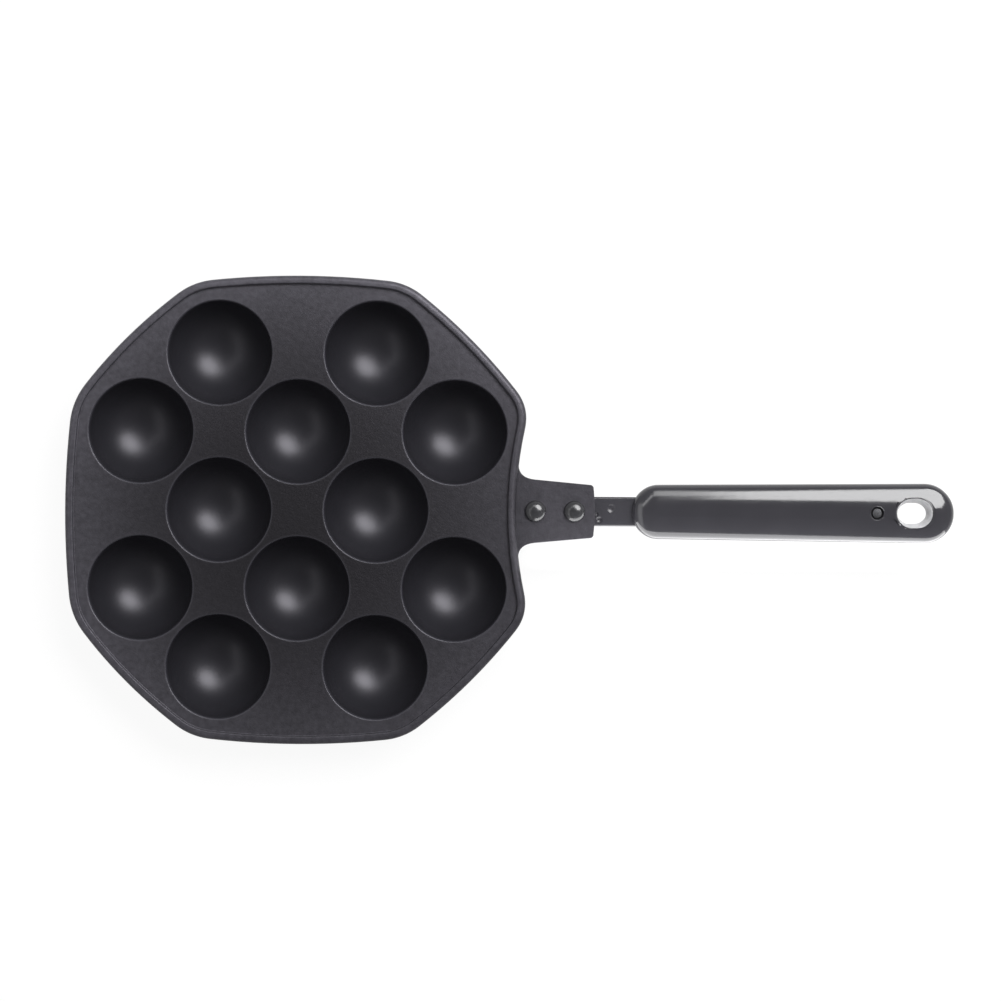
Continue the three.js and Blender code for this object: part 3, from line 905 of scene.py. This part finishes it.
def along_slope(piece, sizes):
    """Carries a piece from the flat to the strap's slope, turned about the bend's centre."""
    outer = sizes.bend_radius + sizes.thickness / 2
    pivot = Vector((pan_x + sizes.bend_at, 0, strap_z + sizes.thickness + sizes.bend_radius))
    piece.location = pivot + Vector((math.sin(sizes.slope), 0, -math.cos(sizes.slope))) * outer
    piece.rotation_euler = (0, -sizes.slope, 0)
    settle(piece)


class PAN_OT_grip(bpy.types.Operator):
    """Models the moulded grip with its hanging hole and strap socket"""

    bl_idname = "pan.grip"
    bl_label = "Grip"

    def execute(self, context):
        sizes = context.scene.pan_grip_sizes
        strap = context.scene.pan_strap_sizes
        grip = moulded_grip(sizes)
        join_by(grip, hole_cutter(sizes), "DIFFERENCE")
        round_hole(grip, sizes)
        end = pin_x(sizes) + sizes.tail + sizes.clearance
        side = strap_high[1] + sizes.clearance
        top_z = strap.thickness / 2 + sizes.clearance
        join_by(grip, block("socket", (-end, -side, -top_z), (end, side, top_z)), "DIFFERENCE")
        pin = [(pin_x(sizes), 0)]
        join_at(grip, spun("lip", lip_profile(sizes), PIN_SEGMENTS), pin, "UNION")
        join_at(grip, spun("bore", bore_profile(sizes), PIN_SEGMENTS), pin, "DIFFERENCE")
        wall = hole_wall(grip, sizes)
        along_slope(grip, strap)
        smooth(grip)
        seat(grip, "handle_grip", [grip_gloss(), hole_satin()])
        # The hanging hole's wall takes the pale grey of the painted reflection
        paint(grip, "hole_satin", lambda face: face.index in wall)
        return {"FINISHED"}


class PAN_OT_pin(bpy.types.Operator):
    """Models the pin that holds the grip on the strap"""

    bl_idname = "pan.pin"
    bl_label = "Grip pin"

    def execute(self, context):
        sizes = context.scene.pan_grip_sizes
        pin = spun("sunk_pin", pin_profile(sizes), PIN_SEGMENTS)
        pin.location.x = pin_x(sizes)
        settle(pin)
        along_slope(pin, context.scene.pan_strap_sizes)
        smooth(pin)
        seat(pin, "handle_pin", [pin_steel()])
        return {"FINISHED"}


# Finishes


class Level:
    """A number that runs through a finish's nodes, for use in Python sums."""

    def __init__(self, finish, socket):
        self.finish = finish
        self.socket = socket

    def sum(self, operation, *terms):
        return self.finish.level("ShaderNodeMath", {"operation": operation}, dict(enumerate(terms)))

    def __add__(self, other):
        return self.sum("ADD", self, other)

    __radd__ = __add__

    def __mul__(self, other):
        return self.sum("MULTIPLY", self, other)

    __rmul__ = __mul__

    def __sub__(self, other):
        return self.sum("SUBTRACT", self, other)

    def __rsub__(self, other):
        return self.sum("SUBTRACT", other, self)

    def __pow__(self, other):
        return self.sum("POWER", self, other)

    def __abs__(self):
        return self.sum("ABSOLUTE", self)

    def least(self, other):
        return self.sum("MINIMUM", self, other)

    def wave(self):
        return self.sum("SINE", self)

    def root(self):
        return self.sum("SQRT", self)

    def ramp(self, start, end):
        """A smooth step from 0 at start to 1 at end."""
        values = {"Value": self, "From Min": start, "From Max": end}
        return self.finish.level("ShaderNodeMapRange", {"interpolation_type": "SMOOTHSTEP"}, values)


class Finish:
    """A material in one of the pan's colours, whose nodes read the piece's own coordinates."""

    def __init__(self, name, tone=None, **constants):
        self.tone = tuple(getattr(bpy.context.scene.pan_colours, tone)) if tone else None
        self.material = bpy.data.materials.new(name)
        self.material.use_nodes = True
        self.tree = self.material.node_tree
        self.shader = self.tree.nodes["Principled BSDF"]
        self.place = self.node("ShaderNodeTexCoord").outputs["Object"]
        for socket, value in constants.items():
            self.feed(self.shader.inputs[socket.replace("_", " ")], value)

    def feed(self, socket, value):
        source = value.socket if isinstance(value, Level) else value
        if isinstance(source, bpy.types.NodeSocket):
            self.tree.links.new(source, socket)
        elif socket.type == "RGBA":
            socket.default_value = (*source, 1)
        else:
            socket.default_value = source

    def node(self, kind, settings=None, values=None):
        """Any node: its settings first, then the values or links of its sockets."""
        node = self.tree.nodes.new(kind)
        for name, value in (settings or {}).items():
            setattr(node, name, value)
        for key, value in (values or {}).items():
            self.feed(node.inputs[key], value)
        return node

    def level(self, kind, settings=None, values=None):
        return Level(self, self.node(kind, settings, values).outputs[0])

    def noise(self, millimetres, detail=3, roughness=0.6, stretch=(1, 1, 1)):
        """Noise whose grain is about as large as the size given."""
        per_millimetre = [share / MM for share in stretch]
        place = self.node(
            "ShaderNodeVectorMath", {"operation": "MULTIPLY"}, {0: self.place, 1: per_millimetre}
        )
        values = {
            "Vector": place.outputs[0],
            "Scale": 1 / millimetres,
            "Detail": detail,
            "Roughness": roughness,
        }
        return self.level("ShaderNodeTexNoise", None, values)

    def relief(self, height, millimetres):
        """A bump of a height given as a level and a depth."""
        values = {"Height": height, "Distance": millimetres * MM, "Strength": 1.0}
        return self.node("ShaderNodeBump", None, values).outputs[0]

    def axes(self):
        parts = self.node("ShaderNodeSeparateXYZ", None, {0: self.place})
        return [Level(self, socket) for socket in parts.outputs]

    def show(self, shader):
        """Shows another shader in place of the principled one."""
        self.tree.links.new(shader.outputs[0], self.tree.nodes["Material Output"].inputs[0])
        return self.material

    def finish(self, light, roughness, normal):
        """The material, with its colour made lighter or darker by a level."""
        shade = {0: self.tone, "Scale": light}
        colour_socket = self.node("ShaderNodeVectorMath", {"operation": "SCALE"}, shade).outputs[0]
        self.feed(self.shader.inputs["Base Color"], colour_socket)
        self.feed(self.shader.inputs["Roughness"], roughness)
        self.feed(self.shader.inputs["Normal"], normal)
        return self.material


def from_cup(finish):
    """How far a point is from the nearest cup's axis, with the pan folded into one quarter."""
    x, y, _ = finish.axes()
    across, along = abs(x - pan_x), abs(y)
    quarter = {(round(abs(cup_x - pan_x), 5), round(abs(cup_y), 5)) for cup_x, cup_y in cup_places}
    nearest, *gaps = [
        ((across - cup_x) ** 2 + (along - cup_y) ** 2).root() for cup_x, cup_y in sorted(quarter)
    ]
    for gap in gaps:
        nearest = nearest.least(gap)
    return nearest


def plate_coating():
    """Satin coating on a sand-cast face, paler outwards, with painted light towards the top and the
    left and painted highlights on the rim's top and the cups' lips.
    """
    sizes = bpy.context.scene.pan_casting_sizes
    finish = Finish(
        "plate_coating", "coating", Specular_IOR_Level=0.33, Specular_Tint=(0.93, 0.89, 1)
    )
    x, y, z = finish.axes()
    along = x - pan_x
    pale_radius = 91 * MM
    half_plate = 95 * MM
    tang_start, tang_end = 80 * MM, 96 * MM
    lip_radius = sizes.cup_mouth + 0.3 * MM
    sand = finish.noise(0.9, detail=4)
    mottle = finish.noise(2.3, roughness=0.65)
    cloud = finish.noise(30, detail=2, roughness=0.5)
    out = ((along**2 + y**2) * (1 / pale_radius**2)) ** 1.5
    tang = along.ramp(tang_start, tang_end)
    # Painted highlight: a paler ring along each cup's lip
    lip = 1 - abs(from_cup(finish) - lip_radius).ramp(0.1 * MM, 0.8 * MM)
    # Painted light: the coating is made paler towards the top and the left, where more light falls
    painted_light_slope = 1 + (0.8 * y - along) * (0.21 / half_plate)
    # Painted highlight: the rim's top is made paler, and a little glossier
    rim = z.ramp(rim_z - MM, rim_z)
    spread = (out.least(1.6) * painted_light_slope + 0.25 * rim) * (1 - 0.2 * tang)
    light = (0.05 + 0.95 * spread) * (0.2 + 1.3 * mottle + 0.3 * cloud) + 0.3 * lip
    normal = finish.relief(0.4 * sand + 0.6 * mottle, 0.14)
    return finish.finish(light, 0.39 + 0.12 * sand - 0.04 * rim, normal)


def cup_coating():
    """The same coating on the turned inside of a cup, smoother and darker."""
    sizes = bpy.context.scene.pan_casting_sizes
    finish = Finish("cup_coating", "cup", Specular_IOR_Level=0.32, Specular_Tint=(0.94, 0.92, 1))
    fine = finish.noise(0.35)
    cloud = finish.noise(9, detail=2, roughness=0.5)
    # Painted highlight: the coating is made paler towards each cup's lip
    lip = (from_cup(finish) - sizes.cup_mouth).ramp(-0.5 * MM, 0.1 * MM)
    light = 0.8 + 0.25 * cloud + 0.15 * fine + 1.1 * lip
    return finish.finish(light, 0.35 + 0.06 * fine - 0.04 * cloud, finish.relief(fine, 0.02))


def underside_paint():
    """Matt heat-proof paint under the plate, with a coarse cast grain."""
    finish = Finish("underside_paint", "underside")
    grain = finish.noise(0.8, detail=4)
    cloud = finish.noise(22, roughness=0.5)
    light = 0.7 + 0.35 * grain + 0.3 * cloud
    return finish.finish(light, 0.55 + 0.2 * grain, finish.relief(grain, 0.16))


def bare_flats():
    """Ground aluminium on the flats, with turning rings."""
    finish = Finish("bare_flats", "bare", Metallic=1.0)
    ring_pitch = 0.35 * MM
    rings = (from_cup(finish) * (2 * math.pi / ring_pitch)).wave()
    stain = finish.noise(3)
    light = 0.75 + 0.25 * stain + 0.04 * rings
    return finish.finish(light, 0.28 + 0.15 * stain, finish.relief(rings, 0.008))


def rivet_black():
    """Glossy black on the rivets, a little uneven from the rivet set."""
    finish = Finish("rivet_black", "rivet", Specular_IOR_Level=0.5)
    dents = finish.noise(1.6, detail=2, roughness=0.5)
    fine = finish.noise(0.4, roughness=0.5)
    return finish.finish(0.8 + 0.4 * dents, 0.16 + 0.08 * fine, finish.relief(dents, 0.05))


def strap_enamel():
    """Glossy black enamel over a rolled steel bar."""
    finish = Finish("strap_enamel", "strap", Specular_IOR_Level=0.35)
    waves = finish.noise(4, detail=2, roughness=0.5, stretch=(0.4, 1, 1))
    fine = finish.noise(0.5)
    normal = finish.relief(0.8 * waves + 0.2 * fine, 0.08)
    return finish.finish(0.8 + 0.5 * fine, 0.2 + 0.1 * fine, normal)


def grip_gloss():
    """Glossy black moulding with faint handling scratches."""
    finish = Finish("grip_gloss", "grip")
    haze = finish.noise(14, roughness=0.5)
    scuffs = finish.noise(0.6, detail=2, roughness=0.5, stretch=(0.05, 1, 1)).ramp(0.6, 0.75)
    normal = finish.relief(finish.noise(3.5, detail=2, roughness=0.5), 0.012)
    return finish.finish(0.9 + 0.3 * haze, 0.085 + 0.05 * haze + 0.08 * scuffs, normal)


def hole_satin():
    """The hanging hole's wall, pale grey as a painted reflection of the bright surroundings, uneven
    in patches.
    """
    finish = Finish("hole_satin", "hole")
    patches = finish.noise(1.2)
    return finish.finish(0.6 + 0.8 * patches, 0.3 + 0.2 * patches, finish.relief(patches, 0.04))


def pin_steel():
    """Dull steel of the pin, with a fine uneven grain."""
    finish = Finish("pin_steel", "pin", Metallic=1.0)
    grain = finish.noise(0.5)
    return finish.finish(0.7 + 0.5 * grain, 0.3 + 0.2 * grain, finish.relief(grain, 0.03))


def floor_white():
    """White floor, clear of tone to the eye and to reflections, that keeps a pale shadow."""
    finish = Finish("floor_white", "floor", Roughness=0.9)
    finish.feed(finish.shader.inputs["Base Color"], finish.tone)
    path = finish.node("ShaderNodeLightPath").outputs
    seen = Level(finish, path["Is Camera Ray"]) + Level(finish, path["Is Glossy Ray"])
    seen = seen + Level(finish, path["Is Transmission Ray"])
    glow = finish.node("ShaderNodeEmission", None, {"Color": (1, 1, 1), "Strength": 1.0})
    values = {0: seen * FLOOR_GLOW, 1: finish.shader.outputs[0], 2: glow.outputs[0]}
    return finish.show(finish.node("ShaderNodeMixShader", None, values))


# Stage


# The floor: its width, and the share of its look that is plain white
FLOOR_WIDTH = 12
FLOOR_GLOW = 0.92

# The camera: its place from the middle of the pan, its height above the cooking face, its turn,
# and the width of what it sees at that face
CAMERA_PLACE = (86.6 * MM, 4.5 * MM)
CAMERA_HEIGHT = 1.0
CAMERA_TURN = math.radians(0.33)
FRAME_WIDTH = 427.05 * MM
SENSOR_MILLIMETRES = 36

# Soft light from above, in metres: place, half of its width and radiance
SOFT_BOX = ((0.79, 0.94, 1.3), 0.69, 14.2)

# Radiance of the room at the horizon and overhead
ROOM_LEVELS = (0.62, 0.18)

# Weaker panels, in metres and degrees: name, place, aim, turn about the aim, size and radiance
PANELS = (
    ("nose_panel", (-1.17, -0.5, 1.3), (-1.17, -0.5, 0), 0, (0.46, 2.1), 1.7),
    ("strip", (-0.08, 1.15, 1.3), (-0.08, 1.15, 0), 0, (0.36, 0.5), 5),
    ("corner_strip", (-0.62, 0.66, 1.3), (-0.62, 0.66, 0), 48, (0.9, 0.16), 4.2),
    ("side_card", (0.11, -0.026, 0.0215), (0.11, 0, 0.0215), 0, (0.2, 0.035), 6.3),
)


def area_light(name, place, aim, turn, size, radiance):
    """A soft panel at a place, turned to its aim, that looks equally bright whatever its size."""
    bpy.ops.object.light_add(type="AREA", location=place)
    lamp = bpy.context.object
    lamp.name = name
    lamp.visible_camera = False
    lamp.data.shape = "RECTANGLE"
    lamp.data.size, lamp.data.size_y = size
    lamp.data.energy = radiance * size[0] * size[1] * math.pi
    facing = (Vector(aim) - Vector(place)).to_track_quat("-Z", "Y")
    lamp.rotation_euler = (facing @ Quaternion((0, 0, 1), math.radians(turn))).to_euler()


def soft_box(place, half_width, radiance):
    """An eight-sided soft box that faces down."""
    half_side = EIGHTH / 2
    bpy.ops.mesh.primitive_circle_add(
        vertices=8,
        radius=half_width / math.cos(half_side),
        fill_type="NGON",
        location=place,
        rotation=(math.pi, 0, half_side),
    )
    box = named("soft_box")
    finish = Finish("soft_box")
    glow = finish.node("ShaderNodeEmission", None, {"Strength": radiance})
    box.data.materials.append(finish.show(glow))
    box.visible_camera = False


def studio_world():
    """A dim room, paler towards the horizon than overhead."""
    world = bpy.data.worlds.new("studio_room")
    world.use_nodes = True
    nodes, links = world.node_tree.nodes, world.node_tree.links
    back = nodes["Background"]
    back.inputs["Color"].default_value = (1, 1, 1, 1)
    parts = nodes.new("ShaderNodeSeparateXYZ")
    links.new(nodes.new("ShaderNodeTexCoord").outputs["Generated"], parts.inputs[0])
    height = nodes.new("ShaderNodeMapRange")
    links.new(parts.outputs["Z"], height.inputs["Value"])
    height.inputs["To Min"].default_value, height.inputs["To Max"].default_value = ROOM_LEVELS
    links.new(height.outputs[0], back.inputs["Strength"])
    return world


class PAN_OT_stage(bpy.types.Operator):
    """Sets the floor, the soft lights and the camera straight above"""

    bl_idname = "pan.stage"
    bl_label = "Stage"

    def execute(self, context):
        bpy.ops.mesh.primitive_plane_add(size=FLOOR_WIDTH, location=(0, 0, 0))
        floor = named("studio_floor")
        floor.data.materials.append(floor_white())
        soft_box(*SOFT_BOX)
        for panel in PANELS:
            area_light(*panel)
        context.scene.world = studio_world()
        face_z = rim_z - context.scene.pan_casting_sizes.rim_rise
        x, y = CAMERA_PLACE
        eye = (pan_x + x, y, face_z + CAMERA_HEIGHT)
        bpy.ops.object.camera_add(location=eye, rotation=(0, 0, CAMERA_TURN))
        camera = bpy.context.object
        camera.data.sensor_width = SENSOR_MILLIMETRES
        camera.data.lens = SENSOR_MILLIMETRES * CAMERA_HEIGHT / FRAME_WIDTH
        context.scene.camera = camera
        context.scene.view_settings.view_transform = "Standard"
        return {"FINISHED"}


class PAN_PT_sidebar(bpy.types.Panel):
    """Lists the steps that make the pan"""

    bl_idname = "PAN_PT_sidebar"
    bl_label = "Takoyaki pan"
    bl_space_type = "VIEW_3D"
    bl_region_type = "UI"
    bl_category = "Pan"

    def draw(self, context):
        for step in STEPS:
            self.layout.operator(step.bl_idname)


STEPS = (PAN_OT_stage, PAN_OT_casting, PAN_OT_rivets, PAN_OT_strap, PAN_OT_grip, PAN_OT_pin)
GROUPS = {
    "pan_casting_sizes": CastingSizes,
    "pan_strap_sizes": StrapSizes,
    "pan_grip_sizes": GripSizes,
    "pan_colours": FinishColours,
}


def register():
    for group in (*GROUPS.values(), *STEPS, PAN_PT_sidebar):
        bpy.utils.register_class(group)
    for name, group in GROUPS.items():
        setattr(bpy.types.Scene, name, bpy.props.PointerProperty(type=group))


def unregister():
    for name in GROUPS:
        delattr(bpy.types.Scene, name)
    for group in reversed((*GROUPS.values(), *STEPS, PAN_PT_sidebar)):
        bpy.utils.unregister_class(group)


def main():
    register()
    for step in STEPS:
        area, name = step.bl_idname.split(".")
        getattr(getattr(bpy.ops, area), name)()


if __name__ == "__main__":
    main()
